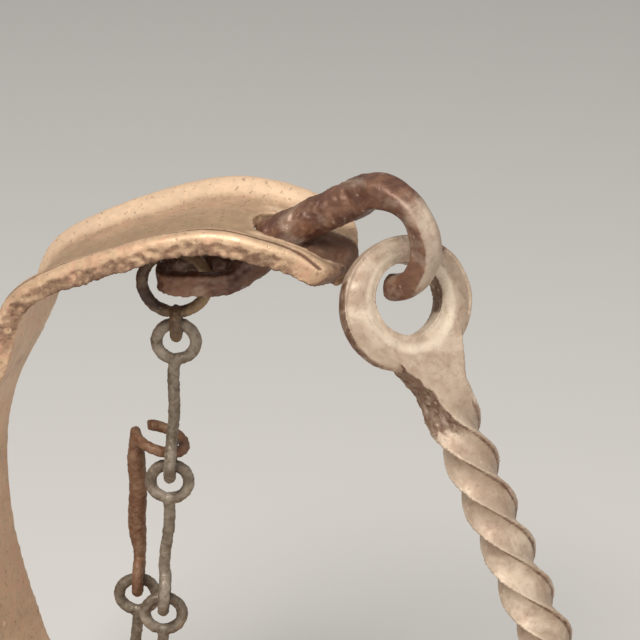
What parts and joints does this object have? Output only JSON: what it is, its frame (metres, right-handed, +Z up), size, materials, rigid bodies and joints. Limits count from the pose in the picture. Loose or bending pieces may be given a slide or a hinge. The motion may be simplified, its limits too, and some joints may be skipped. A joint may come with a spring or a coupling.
{
  "type": "betty lamp",
  "caption": "Hanging grease lamp: teardrop pan with hinged lid and wick trough, arched arm, swivel hook, wire chain with wick pick, twisted hanger.",
  "frame": {"origin": "on the table, in the flat base of the pan, almost under the slot in the tip of the arm", "axes": "+Z up, +X towards the nose and the wick, +Y to the left seen from behind the lamp"},
  "size_m": [0.1257, 0.0742, 0.1312],
  "materials": {
    "brass": "aged cast brass, worn bright on the crests, brown in the hollows",
    "iron": "forged iron, pitted, brown rust worn to grey and buff"
  },
  "bodies": {
    "lamp": {"pan": "brass", "arm": "brass", "arm_rivets": "iron", "rear_deck": "brass", "deck_rivets": "brass", "lid_hinge_pin": "iron", "wick_trough": "brass", "trough_rivet": "brass"},
    "lid": {"lid": "brass", "lid_knob": "brass"},
    "hook": {"swivel_hook": "iron"},
    "hanger": {"hanger": "iron"},
    "link_1": {"chain_link_1": "iron"},
    "link_2": {"chain_link_2": "iron"},
    "link_3": {"chain_link_3": "iron"},
    "link_4": {"chain_link_4": "iron"},
    "pick": {"wick_pick": "iron"},
    "link_5": {"chain_link_5": "iron"}
  },
  "joints": [
    {"name": "lid_hinge", "type": "hinge", "parent": "lamp", "child": "lid", "pos_m": [-0.008, 0, 0.0258], "axis": [0, 1, 0], "range_deg": [-95, 0]},
    {"name": "hook_rock", "type": "hinge", "parent": "lamp", "child": "hook", "pos_m": [-0.0115, 0, 0.1201], "axis": [0, -1, 0], "range_deg": [-2, 45]},
    {"name": "hanger_swing", "type": "hinge", "parent": "hook", "child": "hanger", "pos_m": [0.0047, -0.00207, 0.1218], "axis": [-0.4226, -0.9063, 0], "range_deg": [-2, 110]},
    {"name": "link_1_swing", "type": "hinge", "parent": "hook", "child": "link_1", "pos_m": [-0.02753, 0, 0.11262], "axis": [0.2079, -0.9781, 0], "range_deg": [-6, 20]},
    {"name": "link_2_swing", "type": "hinge", "parent": "link_1", "child": "link_2", "pos_m": [-0.02584, 0.00036, 0.10501], "axis": [0.9781, 0.2079, 0], "range_deg": [-45, 45]},
    {"name": "link_3_swing", "type": "hinge", "parent": "link_2", "child": "link_3", "pos_m": [-0.02742, 0.00002, 0.08187], "axis": [-0.9758, -0.2074, 0.0698], "range_deg": [-3, 20]},
    {"name": "link_4_swing", "type": "hinge", "parent": "link_3", "child": "link_4", "pos_m": [-0.029, -0.00031, 0.05872], "axis": [-0.9758, -0.2074, 0.0698], "range_deg": [-5, 20]},
    {"name": "pick_swing", "type": "hinge", "parent": "link_2", "child": "pick", "pos_m": [-0.02729, 0.00005, 0.08381], "axis": [-0.9758, -0.2074, 0.0698], "range_deg": [-20, 1]},
    {"name": "link_5_swing", "type": "hinge", "parent": "pick", "child": "link_5", "pos_m": [-0.0346, 0.00468, 0.05838], "axis": [-0.9758, -0.2074, 0.0698], "range_deg": [-20, 6]}
  ]
}
